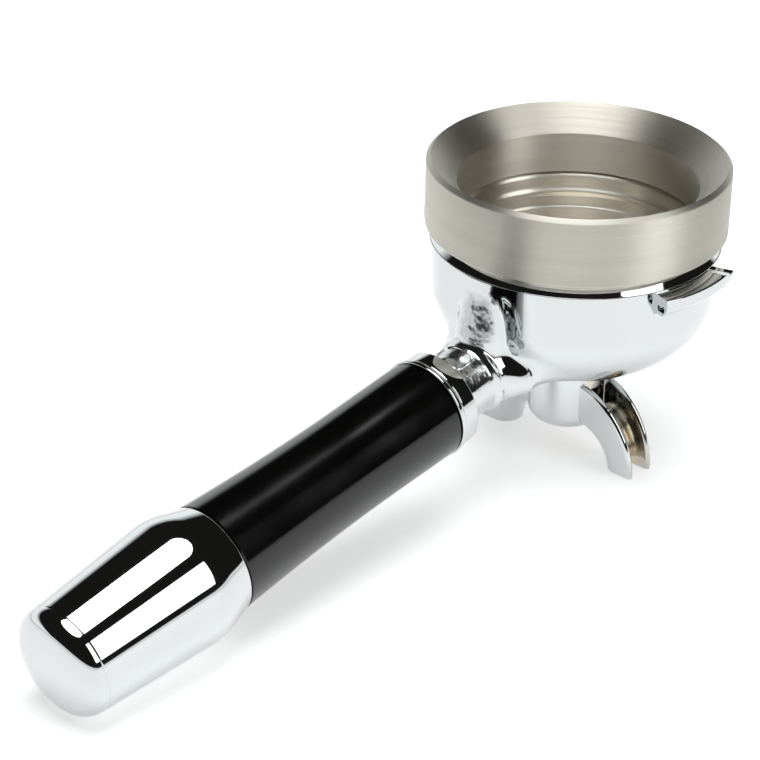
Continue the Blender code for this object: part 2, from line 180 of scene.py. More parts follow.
class PortafilterStage(bpy.types.PropertyGroup):
    """The camera and the studio."""

    azimuth: bearing("Azimuth", "Direction of view, to the right of +Y", 42.87)
    elevation: bearing("Elevation", "Height of the camera", 28.31)
    roll: bearing("Roll", "Turn of the camera", 0.83)
    distance: length("Distance", "From the camera to its aim", 602.7)
    lens: FloatProperty(name="Lens", description="Focal length", default=120.73, unit="CAMERA")
    overhead: radiance("Overhead box", "Radiance of the softbox above", 3.6)
    side: radiance("Side box", "Radiance of the softbox at the side", 2.8)
    table: colour("Table", "Colour of the table", (0.90, 0.91, 0.91))


def settings():
    scene = bpy.context.scene
    return scene.portafilter_sizes, scene.portafilter_finishes, scene.portafilter_stage


# ---------------------------------------------------------------- surfaces


def rounded(outline, radius, steps=5):
    """A closed outline with each corner that asks for it turned into an arc.

    outline holds (across, along, share) and the arc at a corner has the radius share * radius. The arc is
    the quadratic curve through the two points at that distance from the corner, with the corner as handle.
    """
    count = len(outline)
    points = []
    for i in range(count):
        corner = np.array(outline[i][:2])
        reach = outline[i][2] * radius
        if reach == 0.0:
            points.append(corner)
            continue
        before = np.array(outline[i - 1][:2]) - corner
        after = np.array(outline[(i + 1) % count][:2]) - corner
        start = corner + before / np.linalg.norm(before) * reach
        end = corner + after / np.linalg.norm(after) * reach
        t = np.linspace(0.0, 1.0, steps + 1)[:, None]
        points.extend((1 - t) ** 2 * start + 2 * t * (1 - t) * corner + t**2 * end)
    return np.array(points)


def circle(radius, centre, start, end, steps):
    """Points on an arc in the (radius, height) plane, angles in degrees."""
    angle = np.radians(np.linspace(start, end, steps + 1))
    return np.stack([centre[0] + radius * np.cos(angle), centre[1] + radius * np.sin(angle)], axis=1)


def grid_faces(rows, columns, closed_rows):
    """Quads of a grid whose columns close on themselves, and whose rows may close too."""
    last = rows if closed_rows else rows - 1
    i, j = np.meshgrid(np.arange(last), np.arange(columns), indexing="ij")
    up, right = (i + 1) % rows, (j + 1) % columns
    quads = np.stack([i * columns + j, i * columns + right, up * columns + right, up * columns + j], axis=-1)
    return quads.reshape(-1, 4).tolist()


def turned(profile, axis, segments=256, closed=True):
    """Surface of revolution: point (i, j) is the profile's radius i at angle j, at its height i."""
    angle = np.linspace(0.0, math.tau, segments, endpoint=False)
    radius = profile[:, :1]
    height = np.broadcast_to(profile[:, 1:], (len(profile), segments))
    points = np.stack([radius * np.cos(angle), radius * np.sin(angle), height], axis=-1)
    return axis.place(points.reshape(-1, 3)), grid_faces(len(profile), segments, closed)


def swept(sections):
    """A tube through closed sections: point (i, j) is point j of section i. A face closes each end."""
    rows, columns = sections.shape[:2]
    first = np.arange(columns)[::-1].tolist()
    last = (np.arange(columns) + (rows - 1) * columns).tolist()
    return sections.reshape(-1, 3), [*grid_faces(rows, columns, False), first, last]


def mesh_from(name, points, faces):
    """A mesh in metres whose doubles are merged, so that seams and poles are closed, with faces outwards."""
    mesh = bpy.data.meshes.new(name)
    mesh.from_pydata((points * MM).tolist(), [], faces)
    bm = bmesh.new()
    bm.from_mesh(mesh)
    bmesh.ops.remove_doubles(bm, verts=bm.verts, dist=2e-6)
    bmesh.ops.recalc_face_normals(bm, faces=bm.faces)
    bm.to_mesh(mesh)
    bm.free()
    return mesh


def squared_circle(turn, half_long, half_wide, power):
    """A rounded rectangle: each coordinate of a circle has its size raised to a power below one."""
    along = half_long * np.sign(np.cos(turn)) * np.abs(np.cos(turn)) ** power
    across = half_wide * np.sign(np.sin(turn)) * np.abs(np.sin(turn)) ** power
    return along, across


def new_object(name, data):
    made = bpy.data.objects.new(name, data)
    bpy.context.scene.collection.objects.link(made)
    return made


def shade(mesh, sharp_angle=32.0):
    mesh.shade_smooth()
    mesh.set_sharp_from_angle(angle=math.radians(sharp_angle))


def add_piece(name, mesh, body, slot, material, *replaced):
    """Links a finished mesh as a piece that rides on a body and stands for frame nodes."""
    piece = new_object(name, mesh)
    if not any(mesh.materials):
        mesh.materials.clear()
        mesh.materials.append(material)
    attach(piece, body)
    if replaced:
        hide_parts(*replaced)
    return piece


def combined(name, base, steps):
    """The base mesh with (operation, mesh) steps applied in turn by the manifold solver."""
    target = new_object(name, base)
    tools = []
    for operation, mesh in steps:
        tool = new_object(name + "_tool", mesh)
        modifier = target.modifiers.new("Boolean", "BOOLEAN")
        modifier.operation = operation
        modifier.solver = "MANIFOLD"
        modifier.object = tool
        tools.append(tool)
    bpy.context.view_layer.update()
    graph = bpy.context.evaluated_depsgraph_get()
    result = bpy.data.meshes.new_from_object(target.evaluated_get(graph))
    result.name = name
    for item in [target, *tools]:
        bpy.data.objects.remove(item)
    if not result.polygons:
        raise RuntimeError(f"{name}: nothing was left after its cuts")
    return result


# ---------------------------------------------------------------- materials


class Value:
    """A node socket that takes part in arithmetic: each operator adds one Math node."""

    def __init__(self, tree, socket):
        self.tree = tree
        self.socket = socket

    def math(self, operation, *others):
        return self.tree.node("ShaderNodeMath", {"operation": operation}, [self, *others])

    def __add__(self, other):
        return self.math("ADD", other)

    def __sub__(self, other):
        return self.math("SUBTRACT", other)

    def __rsub__(self, other):
        return self.tree.node("ShaderNodeMath", {"operation": "SUBTRACT"}, [other, self])

    def __mul__(self, other):
        return self.math("MULTIPLY", other)

    __radd__ = __add__
    __rmul__ = __mul__


class Tree:
    """A material's or world's node tree, with one method that adds any node."""

    def __init__(self, owner):
        owner.use_nodes = True
        self.nodes = owner.node_tree.nodes
        self.links = owner.node_tree.links

    def put(self, socket, value):
        if isinstance(value, Value):
            self.links.new(value.socket, socket)
        elif value is not None:
            socket.default_value = value

    def node(self, kind, options=None, inputs=(), output=0):
        """Adds a node, sets its options, fills its sockets by place or name, and gives one output."""
        made = self.nodes.new(kind)
        for key, value in (options or {}).items():
            setattr(made, key, value)
        pairs = inputs.items() if isinstance(inputs, dict) else enumerate(inputs)
        for key, value in pairs:
            self.put(made.inputs[key], value)
        return Value(self, made.outputs[output])

    def coordinates(self, centre=(0.0, 0.0, 0.0), scale=(1.0, 1.0, 1.0)):
        """Object coordinates, moved so that centre is their origin, then scaled."""
        place = self.node("ShaderNodeTexCoord", output="Object")
        moved = self.node("ShaderNodeVectorMath", {"operation": "SUBTRACT"}, [place, centre])
        return self.node("ShaderNodeVectorMath", {"operation": "MULTIPLY"}, [moved, scale])

    def noise(self, vector, scale, detail=3.0, roughness=0.55):
        inputs = {"Vector": vector, "Scale": scale, "Detail": detail, "Roughness": roughness}
        return self.node("ShaderNodeTexNoise", {}, inputs)

    def ramp(self, value, low, high, start=0.0, end=1.0):
        """The value taken from low..high to start..end and held at both ends."""
        names = {"Value": value, "From Min": low, "From Max": high, "To Min": start, "To Max": end}
        return self.node("ShaderNodeMapRange", {}, names)

    def tint(self, factor, first, second):
        """A colour between first and second. Sockets 6, 7 and output 2 are the Mix node's colour ones."""
        inputs = {0: factor, 6: (*first, 1.0), 7: (*second, 1.0)}
        return self.node("ShaderNodeMix", {"data_type": "RGBA"}, inputs, 2)

    def parts(self, vector):
        """A vector's X, Y and Z."""
        split = self.node("ShaderNodeSeparateXYZ", {}, [vector]).socket.node
        return [Value(self, socket) for socket in split.outputs]

    def bump(self, height, strength, distance):
        inputs = {"Height": height, "Strength": strength, "Distance": distance}
        return self.node("ShaderNodeBump", {}, inputs)


def new_material(name):
    """A material with its tree and its Principled shader."""
    material = bpy.data.materials.new(name)
    tree = Tree(material)
    return material, tree, tree.nodes["Principled BSDF"]


def dark(tint_colour, factor):
    return tuple(part * factor for part in tint_colour)


@functools.cache
def chrome_plating(kind):
    """Mirror chrome: a faint cloudiness in the gloss, a very slight waviness and fine polishing marks.

    On the forging the neck and the rib were never polished under their plating, so there the surface is
    lumpy: behind the rib's front and above the neck's lower half, the bump is much stronger.
    """
    finishes = settings()[1]
    material, tree, shader = new_material(kind + "_chrome")
    place = tree.coordinates()
    cloud = tree.noise(place, 60.0)
    marks = tree.noise(tree.coordinates(scale=(1.0, 1.0, 14.0)), 900.0, 2.0)
    tree.put(shader.inputs["Base Color"], tree.tint(cloud, dark(finishes.chrome, 0.97), finishes.chrome))
    shader.inputs["Metallic"].default_value = 1.0
    gloss = tree.ramp(cloud, 0.35, 0.7, finishes.gloss * 0.7, finishes.gloss * 1.5) + marks * 0.012
    fine = tree.bump(tree.noise(place, 90.0, 1.0), 0.25, 0.00004)
    if kind == "forged":
        _, y, z = tree.parts(place)
        rough_part = tree.ramp(y, 0.0312, 0.0298) * tree.ramp(z, 0.033, 0.037)
        lumps = tree.noise(place, 260.0, 2.0, 0.5) * rough_part
        gloss = gloss + rough_part * 0.13
        inputs = {"Height": lumps, "Strength": 0.5, "Distance": 0.0006, "Normal": fine}
        fine = tree.node("ShaderNodeBump", {}, inputs)
    tree.put(shader.inputs["Roughness"], gloss)
    tree.put(shader.inputs["Normal"], fine)
    return material


def channel_plating():
    """The thin, warm-toned plating inside the spout arms."""
    finishes = settings()[1]
    material, tree, shader = new_material("channel_plating")
    place = tree.coordinates()
    patch = tree.ramp(tree.noise(place, 90.0), 0.4, 0.6)
    grain = tree.noise(place, 900.0, 3.0)
    tree.put(shader.inputs["Base Color"], tree.tint(patch, finishes.bare, dark(finishes.chrome, 0.8)))
    shader.inputs["Metallic"].default_value = 1.0
    tree.put(shader.inputs["Roughness"], tree.ramp(grain, 0.3, 0.7, 0.10, 0.2))
    tree.put(shader.inputs["Normal"], tree.bump(grain, 0.15, 0.00005))
    return material


def turned_steel(name, tint_colour, roughness, groove):
    """Steel brushed on a lathe: hair-fine rings round the bowl's axis, and gloss stretched across them."""
    material, tree, shader = new_material(name)
    centre = tuple(BOWL.origin * MM)
    x, y, z = tree.parts(tree.coordinates(centre))
    radius = (x * x + y * y).math("SQRT")
    across = tree.node("ShaderNodeCombineXYZ", {}, [x * 22.0, y * 22.0, (z + radius * 0.8) * 5200.0])
    rings = tree.noise(across, 1.0, 4.0, 0.7)
    wide = tree.node("ShaderNodeCombineXYZ", {}, [x * 9.0, y * 9.0, (z + radius) * 500.0])
    slow = tree.noise(wide, 1.0, 2.0)
    shade_value = tree.ramp(rings * 0.7 + slow * 0.3, 0.35, 0.65)
    tree.put(shader.inputs["Base Color"], tree.tint(shade_value, dark(tint_colour, 0.86), tint_colour))
    shader.inputs["Metallic"].default_value = 1.0
    shader.inputs["Anisotropic"].default_value = 0.9
    shader.inputs["Anisotropic Rotation"].default_value = 0.25
    tree.put(shader.inputs["Roughness"], tree.ramp(rings, 0.3, 0.7, roughness * 0.85, roughness * 1.15))
    tree.put(shader.inputs["Normal"], tree.bump(rings, groove, 0.00002))
    return material


@functools.cache
def plain_steel():
    """Zinc-plated fixings: soft crystalline patches and fine turning marks."""
    finishes = settings()[1]
    material, tree, shader = new_material("plain_steel")
    place = tree.coordinates()
    patch = tree.noise(place, 400.0, 3.0)
    tree.put(shader.inputs["Base Color"], tree.tint(patch, dark(finishes.plain, 0.75), finishes.plain))
    shader.inputs["Metallic"].default_value = 1.0
    tree.put(shader.inputs["Roughness"], tree.ramp(patch, 0.3, 0.7, 0.3, 0.5))
    tree.put(shader.inputs["Normal"], tree.bump(patch, 0.2, 0.00005))
    return material


def gloss_plastic():
    """Polished black plastic with a trace of handling: faint smears in the gloss and hair-fine scratches."""
    finishes = settings()[1]
    material, tree, shader = new_material("gloss_black_plastic")
    smear = tree.noise(tree.coordinates(), 45.0, 3.0)
    hairs = tree.noise(tree.coordinates(scale=(14.0, 1.0, 14.0)), 130.0, 3.0)
    tree.put(shader.inputs["Base Color"], tree.tint(smear, dark(finishes.grip, 0.8), finishes.grip))
    tree.put(shader.inputs["Roughness"], tree.ramp(smear, 0.3, 0.7, 0.06, 0.13) + hairs * 0.03)
    tree.put(shader.inputs["Normal"], tree.bump(hairs, 0.06, 0.00003))
    return material


def matt_rubber():
    """Moulded rubber with a fine dusty grain."""
    finishes = settings()[1]
    material, tree, shader = new_material("seal_rubber")
    grain = tree.noise(tree.coordinates(), 1500.0, 3.0)
    tree.put(shader.inputs["Base Color"], tree.tint(grain, dark(finishes.rubber, 0.7), finishes.rubber))
    tree.put(shader.inputs["Roughness"], tree.ramp(grain, 0.3, 0.7, 0.6, 0.8))
    tree.put(shader.inputs["Normal"], tree.bump(grain, 0.3, 0.0001))
    return material


# ---------------------------------------------------------------- the body


def smooth_least(first, second, blend):
    """Smooth minimum: the lesser of two values, eased over a band of the width blend."""
    ease = np.clip(0.5 + 0.5 * (second - first) / blend, 0.0, 1.0)
    return second + (first - second) * ease - blend * ease * (1.0 - ease)


def softened_ramp(value, width):
    """Zero below 0 and equal to the value above it, with a rounded corner of the given width."""
    return 0.5 * (value + np.sqrt(value * value + width * width))


BOWL_WALL_R = 34.5
BOWL_TURN = 45.0
BOWL_DEPTH = 21.9
BOWL_POWER = 1.9
WALL_FLARE = 0.05
FORGING_TOP = 62.0


def bowl_level(points):
    """Below zero inside the bowl: a cylinder that flares a little upwards, on a flattened oval bottom."""
    radius = np.hypot(points[..., 0], points[..., 1])
    height = points[..., 2]
    wall = BOWL_WALL_R + WALL_FLARE * np.maximum(height - BOWL_TURN, 0.0)
    drop = np.maximum(BOWL_TURN - height, 0.0) / BOWL_DEPTH
    level = (radius / wall) ** BOWL_POWER + drop**2 - 1.0
    across = BOWL_POWER / wall * (np.maximum(radius, 1.0) / wall) ** (BOWL_POWER - 1.0)
    return level / np.maximum(np.hypot(across, 2.0 * drop / BOWL_DEPTH), 0.02)


NECK_UNDER = 7.9
NECK_FAN_START = 36.0
NECK_FAN = 0.95
NECK_FAN_LIMIT = 14.0
NECK_INNER_END = 2.0
BEAD_AT = 37.1
BEAD_HEIGHT = 0.75
BEAD_WIDTH = 0.85


def neck_level(points):
    """Below zero inside the neck: an oval round the handle axis that fans out sideways into the bowl."""
    neck_radius = settings()[0].neck_radius / MM
    local = HANDLE.local(BOWL.place(points))
    across, rise, along = local[..., 0], local[..., 1], local[..., 2]
    fan = NECK_FAN * softened_ramp(NECK_FAN_START - along, 1.2)
    half_width = np.minimum(neck_radius + fan, NECK_FAN_LIMIT)
    bead = BEAD_HEIGHT * np.exp(-(((along - BEAD_AT) / BEAD_WIDTH) ** 2))
    spread = half_width - neck_radius
    top = neck_radius - 0.45 * spread
    under = NECK_UNDER + 0.6 * np.clip((along - 38.0) / 6.0, 0.0, 1.0) - 0.28 * spread
    half_height = np.where(rise > 0.0, top, under)
    oval = np.hypot(across / half_width, rise / half_height)
    size = np.minimum(half_width, half_height)
    return np.maximum((oval - 1.0) * size - bead, NECK_INNER_END - along)


RIB_BACK = -26.0
RIB_FRONT = -38.6
RIB_LEAN = 0.32
RIB_FOOT = 42.5
RIB_POWER = 2.6
RIB_BOTTOM = 36.0
RIB_INNER_END = -16.0


def rib_level(points):
    """Below zero inside the rib: a post with an oval front that leans into the bowl's wall as it rises."""
    half_width = settings()[0].rib_half_width / MM
    height = points[..., 2]
    depth = RIB_BACK - RIB_FRONT - RIB_LEAN * np.clip(height - RIB_FOOT, 0.0, 11.0)
    forward = np.maximum(RIB_BACK - points[..., 1], 0.0) / depth
    across = np.abs(points[..., 0]) / half_width
    oval = (across**RIB_POWER + forward**RIB_POWER) ** (1.0 / RIB_POWER)
    inside_end = points[..., 1] - RIB_INNER_END
    return np.maximum(np.maximum((oval - 1.0) * half_width, RIB_BOTTOM - height), inside_end)


def body_level(points):
    """Below zero inside the forging, before its bore, ledge and lugs: bowl, neck and rib eased together."""
    joined = smooth_least(bowl_level(points), neck_level(points), 3.2)
    return np.maximum(smooth_least(joined, rib_level(points), 1.3), points[..., 2] - FORGING_TOP)


SIGHT_FROM = 20.0
NECK_TIP = 50.5
BODY_REACH = 90.0
HALVINGS = 26


def sight_angles():
    """Angles from the handle axis, close together along the neck and even round the bowl."""
    stations = np.arange(NECK_TIP, 33.0, -0.36)
    neck = np.arctan2(9.0, stations - SIGHT_FROM)
    tip = np.linspace(0.0, neck[0], 8, endpoint=False)
    bowl = np.linspace(neck[-1], math.pi, 190)[1:]
    return np.concatenate([tip, neck, bowl])


def forging(columns=330):
    """The forging's outside, seen from a point inside the neck's root.

    Point (i, j) lies on the ray at angle i from the handle axis and at angle j round it, at the distance
    where body_level passes zero. The distance is found by halving an interval for all rays at once.
    """
    tilt = sight_angles()[:, None]
    turn = np.linspace(0.0, math.tau, columns, endpoint=False)
    level = np.broadcast_to(np.cos(tilt), (len(tilt), columns))
    rays = np.stack([np.sin(tilt) * np.cos(turn), np.sin(tilt) * np.sin(turn), level], axis=-1)
    rays = rays @ HANDLE.turn.T
    eye = BOWL.local(HANDLE.place(np.array([0.0, 0.0, SIGHT_FROM])))
    along = rays @ HANDLE.turn[:, 2]
    limit = np.where(along > 0.0, (NECK_TIP - SIGHT_FROM) / np.maximum(along, 1e-6), BODY_REACH)
    near = np.zeros(rays.shape[:2])
    far = reach = np.minimum(limit, BODY_REACH)
    for _ in range(HALVINGS):
        middle = (near + far) / 2
        outside = body_level(eye + rays * middle[..., None]) > 0.0
        far = np.where(outside, middle, far)
        near = np.where(outside, near, middle)
    points = eye + rays * np.minimum((near + far) / 2, reach)[..., None]
    return points, grid_faces(len(tilt), columns, False)


def body_normals(points):
    """The slope of body_level at each point, by central differences, made one unit long."""
    step = 0.02
    slopes = []
    for axis in range(3):
        offset = np.zeros(3)
        offset[axis] = step
        slopes.append(body_level(points + offset) - body_level(points - offset))
    slope = np.stack(slopes, axis=-1)
    return slope / np.maximum(np.linalg.norm(slope, axis=-1, keepdims=True), 1e-9)


GROOVE_TOP = 56.2
GROOVE_BOTTOM = 54.4
GROOVE_DEPTH = 1.4
DISH_TOP = 42.6
DISH_DEPTH = 14.6
OUTLET_RADIUS = 8.6
OUTLET_TOP = 28.4
LAND_RADIUS = 9.9


def hollow_outline(sizes, rim_top, land_height):
    """What is cut from the forging: the step round the rim, the basket's bore, its groove and the outlet."""
    rim, ledge, bore = sizes.rim_radius / MM, sizes.ledge_height / MM, sizes.bore_radius / MM
    groove = bore + GROOVE_DEPTH
    outside = [
        (60.0, 90.0, 0.0),
        (60.0, ledge, 0.0),
        (rim + 0.9, ledge, 0.3),
        (rim - 0.7, rim_top - 0.25, 0.3),
        (rim - 0.85, rim_top, 0.3),
        (bore + 0.7, rim_top, 0.7),
        (bore, rim_top - 0.8, 0.5),
        (bore, GROOVE_TOP, 0.0),
        (groove, GROOVE_TOP, 0.5),
        (groove, GROOVE_BOTTOM, 0.5),
        (bore, GROOVE_BOTTOM, 0.0),
    ]
    dish = circle(1.0, (0.0, 0.0), 0.0, -70.0, 14) * (bore, DISH_DEPTH) + (0.0, DISH_TOP)
    outlet_wall = [
        (OUTLET_RADIUS, OUTLET_TOP),
        (OUTLET_RADIUS, land_height + 0.5),
        (OUTLET_RADIUS + 0.5, land_height),
    ]
    below = [(LAND_RADIUS, land_height), (LAND_RADIUS, 5.0), (0.0, 5.0), (0.0, 90.0)]
    return np.concatenate([rounded(outside, 0.45), dish, outlet_wall, below])


def rod_hole_outline(neck_end):
    """What is cut from the neck: the hole for the tie rod, and all beyond the neck's flat end."""
    radius = 5.0
    return np.array([
        (0.0, 36.5),
        (radius, 36.5),
        (radius, neck_end - 0.5),
        (radius + 0.5, neck_end),
        (13.0, neck_end),
        (13.0, 60.0),
        (0.0, 60.0),
    ])


def lug(side, outer, top, bottom, half_angle):
    """One bayonet lug: point (i, j) is point j of the section, turned by angle i about the bowl's axis.

    The section has a rounded outer edge, a slanted underside and a foot that widens into the wall. It gets
    thinner at the far end, where the real one is cut back so that it can enter the group.
    """
    section = rounded(
        [
            (32.5, top, 0.0),
            (outer, top, 0.9),
            (outer, bottom + 1.7, 1.0),
            (outer - 1.7, bottom, 1.0),
            (35.9, bottom, 1.6),
            (34.4, bottom - 1.2, 0.0),
            (32.5, bottom - 1.2, 0.0),
        ],
        0.5,
    )
    turn = np.linspace(-half_angle, half_angle, 36)
    cut_back = np.clip((turn - half_angle * 0.62) / (half_angle * 0.2), 0.0, 1.0)
    height = section[:, 1] - 0.9 * cut_back[:, None] * (section[:, 1] > (top + bottom) / 2)
    radius = np.broadcast_to(section[:, 0], height.shape)
    angle = turn[:, None]
    points = np.stack([side * radius * np.cos(angle), radius * np.sin(angle), height], axis=-1)
    return swept(points)


RECESS_HALF_WIDTH = 1.35
RECESS_HALF_HEIGHT = 1.45
RECESS_DEPTH = 0.8
RECESS_INSET = 2.35


def end_recess(outer, top, bottom, half_angle):
    """A shallow, round-cornered pocket in the right lug's near end, as a slab to be cut away."""
    outwards = np.array([math.cos(half_angle), -math.sin(half_angle), 0.0])
    into = np.array([math.sin(half_angle), math.cos(half_angle), 0.0])
    upwards = np.array([0.0, 0.0, 1.0])
    centre = outwards * (outer - RECESS_INSET) + upwards * (top + bottom) / 2
    turn = np.linspace(0.0, math.tau, 40, endpoint=False)
    wide, tall = squared_circle(turn, RECESS_HALF_WIDTH, RECESS_HALF_HEIGHT, 0.3)
    flat = centre + wide[:, None] * outwards + tall[:, None] * upwards
    depth = np.array([-1.5, RECESS_DEPTH])[:, None, None]
    return swept(flat[None] + depth * into)


PANEL_HALF_LENGTH = 3.3
PANEL_HALF_WIDTH = 4.3
PANEL_INSET = 4.9
RIDGE_WIDTH = 0.36
RIDGE_HEIGHT = 0.5


def panel_frame(neck_end):
    """The raised, plain, round-cornered frame on top of the neck: a ridge carried round a closed path.

    The path is a rounded rectangle wrapped on the neck. Point (i, j) is at angle j round the ridge's own
    small oval section, at place i on the path.
    """
    neck_radius = settings()[0].neck_radius / MM
    turn = np.linspace(0.0, math.tau, 96, endpoint=False)
    along, across = squared_circle(turn, PANEL_HALF_LENGTH, PANEL_HALF_WIDTH, 0.5)
    ring = np.linspace(0.0, math.tau, 12, endpoint=False)
    centre = (neck_end - PANEL_INSET + along)[:, None]
    step_along = np.gradient(np.append(along, along[:1]))[:-1, None]
    step_across = np.gradient(np.append(across, across[:1]))[:-1, None]
    size = np.maximum(np.hypot(step_along, step_across), 1e-6)
    side_along, side_across = -step_across / size, step_along / size
    radius = neck_radius - 0.15 + RIDGE_HEIGHT * np.sin(ring)
    angle = (across[:, None] + side_across * RIDGE_WIDTH * np.cos(ring)) / neck_radius
    place = centre + side_along * RIDGE_WIDTH * np.cos(ring)
    points = np.stack([radius * np.sin(angle), radius * np.cos(angle), place], axis=-1)
    return BOWL.local(HANDLE.place(points.reshape(-1, 3))), grid_faces(96, 12, True)


def set_body_normals(mesh):
    """Gives each corner on the smooth forging the exact slope there, and keeps the other normals."""
    vertex = read_all(mesh.loops, "vertex_index")
    points = BOWL.local(mesh_points(mesh))
    corner = read_all(mesh.corner_normals, "vector", 3, np.float32)
    totals = read_all(mesh.polygons, "loop_total")
    face = np.repeat(read_all(mesh.polygons, "normal", 3, np.float32), totals, axis=0)
    slope = body_normals(points)[vertex]
    on_surface = np.abs(body_level(points))[vertex] < 0.03
    facing = (slope * face).sum(axis=1) > 0.85
    chosen = np.where((on_surface & facing)[:, None], slope, corner)
    mesh.normals_split_custom_set(chosen.tolist())


LUG_BOTTOM = 51.8
LUG_HALF_ANGLE = math.radians(18.7)


class PORTAFILTER_OT_body(bpy.types.Operator):
    """Build the chromed bowl with its lugs, neck and rib"""

    bl_idname = "portafilter.body"
    bl_label = "Bowl, lugs and neck"

    def execute(self, context):
        sizes = settings()[0]
        rim_top = BOWL.span("body")[1]
        land_height = BOWL.span("spout_seal")[1] + 0.3
        neck_end = HANDLE.span("front_collar")[0] - 0.7
        outer = BOWL.local(node_points("body"))[:, 0].max()
        lug_sizes = (outer, sizes.ledge_height / MM - 0.2, LUG_BOTTOM, LUG_HALF_ANGLE)
        points, faces = forging()
        base = mesh_from("forging", BOWL.place(points.reshape(-1, 3)), faces)
        steps = []
        added = [lug(1.0, *lug_sizes), lug(-1.0, *lug_sizes), panel_frame(neck_end)]
        for points, faces in added:
            steps.append(("UNION", mesh_from("added", BOWL.place(points), faces)))
        hollow = turned(hollow_outline(sizes, rim_top, land_height), BOWL)
        rod_hole = turned(rod_hole_outline(neck_end), HANDLE, 96)
        points, faces = end_recess(*lug_sizes)
        for points, faces in (hollow, rod_hole, (BOWL.place(points), faces)):
            steps.append(("DIFFERENCE", mesh_from("removed", points, faces)))
        mesh = combined("bowl_and_neck", base, steps)
        shade(mesh)
        set_body_normals(mesh)
        add_piece("bowl_and_neck", mesh, "body", "chrome", chrome_plating("forged"), "body")
        return {"FINISHED"}


# ---------------------------------------------------------------- basket, spring and funnel


def basket_outline(sizes, floor, rim, flange):
    """The basket's sheet, from the flange's edge under the floor and back up inside, with its ridges."""
    wall = sizes.wall / MM
    radius = 29.5
    inner = radius - wall
    corner = 3.0
    ridge = 55.3
    outside = rounded(
        [
            (flange, rim, 1.0),
            (flange, rim - 1.0, 1.0),
            (radius, rim - 1.0, 1.0),
            (radius, ridge + 1.1, 1.2),
            (radius - 0.7, ridge, 1.2),
            (radius, ridge - 1.1, 1.2),
            (radius, 51.4, 1.0),
            (radius - 0.4, 51.0, 1.0),
            (radius - 0.4, 47.8, 1.0),
            (radius - 0.8, 47.4, 1.0),
        ],
        0.42,
    )[1:]
    low_radius = radius - 0.8
    under = circle(corner, (low_radius - corner, floor + corner), 0.0, -90.0, 8)
    over = circle(corner - wall, (low_radius - corner, floor + corner), -90.0, 0.0, 8)
    inside = rounded(
        [
            (inner - 0.8, 47.4, 1.0),
            (inner - 0.4, 47.8, 1.0),
            (inner - 0.4, 51.0, 1.0),
            (inner, 51.4, 1.0),
            (inner, ridge - 1.1, 1.2),
            (inner - 0.75, ridge, 1.2),
            (inner, ridge + 1.1, 1.2),
            (inner, rim - 1.9, 1.5),
        ],
        0.42,
    )
    lip = circle(1.5, (inner + 1.5, rim - 1.5), 180.0, 90.0, 10)
    axis_point = np.array([[0.0, floor]])
    axis_top = np.array([[0.0, floor + wall]])
    return np.concatenate([outside, under, axis_point, axis_top, over, inside, lip])


HOLES_REACH = 24.0


def hole_posts(sizes, floor):
    """Eight-sided posts on a triangular grid in the flat floor: point (i, j) is corner j of post i."""
    pitch, radius = sizes.hole_pitch / MM, sizes.hole_radius / MM
    rows = int(HOLES_REACH / pitch)
    i, j = np.meshgrid(np.arange(-2 * rows, 2 * rows + 1), np.arange(-2 * rows, 2 * rows + 1))
    x, y = pitch * (i + j / 2.0), pitch * j * math.sqrt(3.0) / 2.0
    keep = np.hypot(x, y) < HOLES_REACH
    centres = np.stack([x[keep], y[keep], np.full(keep.sum(), floor + 0.35)], axis=-1)
    turn = np.radians(np.arange(8) * 45.0)
    ring = np.stack([radius * np.cos(turn), radius * np.sin(turn)], axis=-1)
    low = np.concatenate([ring, np.full((8, 1), -1.5)], axis=1)
    high = np.concatenate([ring, np.full((8, 1), 1.5)], axis=1)
    post = np.concatenate([low, high])
    points = (centres[:, None] + post[None]).reshape(-1, 3)
    sides = [[k, (k + 1) % 8, 8 + (k + 1) % 8, 8 + k] for k in range(8)]
    caps = [list(range(7, -1, -1)), list(range(8, 16))]
    faces = [[16 * n + corner for corner in face] for n in range(len(centres)) for face in sides + caps]
    return BOWL.place(points), faces


class PORTAFILTER_OT_basket(bpy.types.Operator):
    """Build the perforated filter basket and the spring that holds it"""

    bl_idname = "portafilter.basket"
    bl_label = "Basket and spring"

    def execute(self, context):
        sizes, finishes = settings()[:2]
        floor, rim, flange = BOWL.span("filter_basket")
        base = mesh_from("basket_sheet", *turned(basket_outline(sizes, floor, rim, flange), BOWL))
        holes = mesh_from("holes", *hole_posts(sizes, floor))
        mesh = combined("basket", base, [("DIFFERENCE", holes)])
        shade(mesh, 40.0)
        steel = turned_steel("pressed_steel", finishes.pressed, 0.34, 0.25)
        add_piece("basket", mesh, "basket", "pressed_steel", steel, "filter_basket")
        self.add_spring()
        return {"FINISHED"}

    def add_spring(self):
        """A round wire in an open ring whose two ends turn inwards: a circle carried along the ring."""
        low, high, outer = BOWL.span("basket_spring")
        wire = (high - low) / 2
        ring_radius = outer - wire
        gap = math.radians(24.0)
        turn = np.linspace(-math.pi / 2 + gap / 2, 1.5 * math.pi - gap / 2, 160)[:, None]
        ring = np.linspace(0.0, math.tau, 14, endpoint=False)
        from_end = np.minimum(turn - turn[0], turn[-1] - turn)
        radius = ring_radius - 0.5 * np.exp(-from_end / 0.04) + wire * np.cos(ring)
        height = (low + high) / 2 + wire * np.sin(ring) + 0.0 * turn
        points = np.stack([radius * np.cos(turn), radius * np.sin(turn), height], axis=-1)
        shape = swept(BOWL.place(points))
        mesh = mesh_from("retaining_spring", *shape)
        shade(mesh)
        add_piece("retaining_spring", mesh, "body", "plain_steel", plain_steel(), "basket_spring")


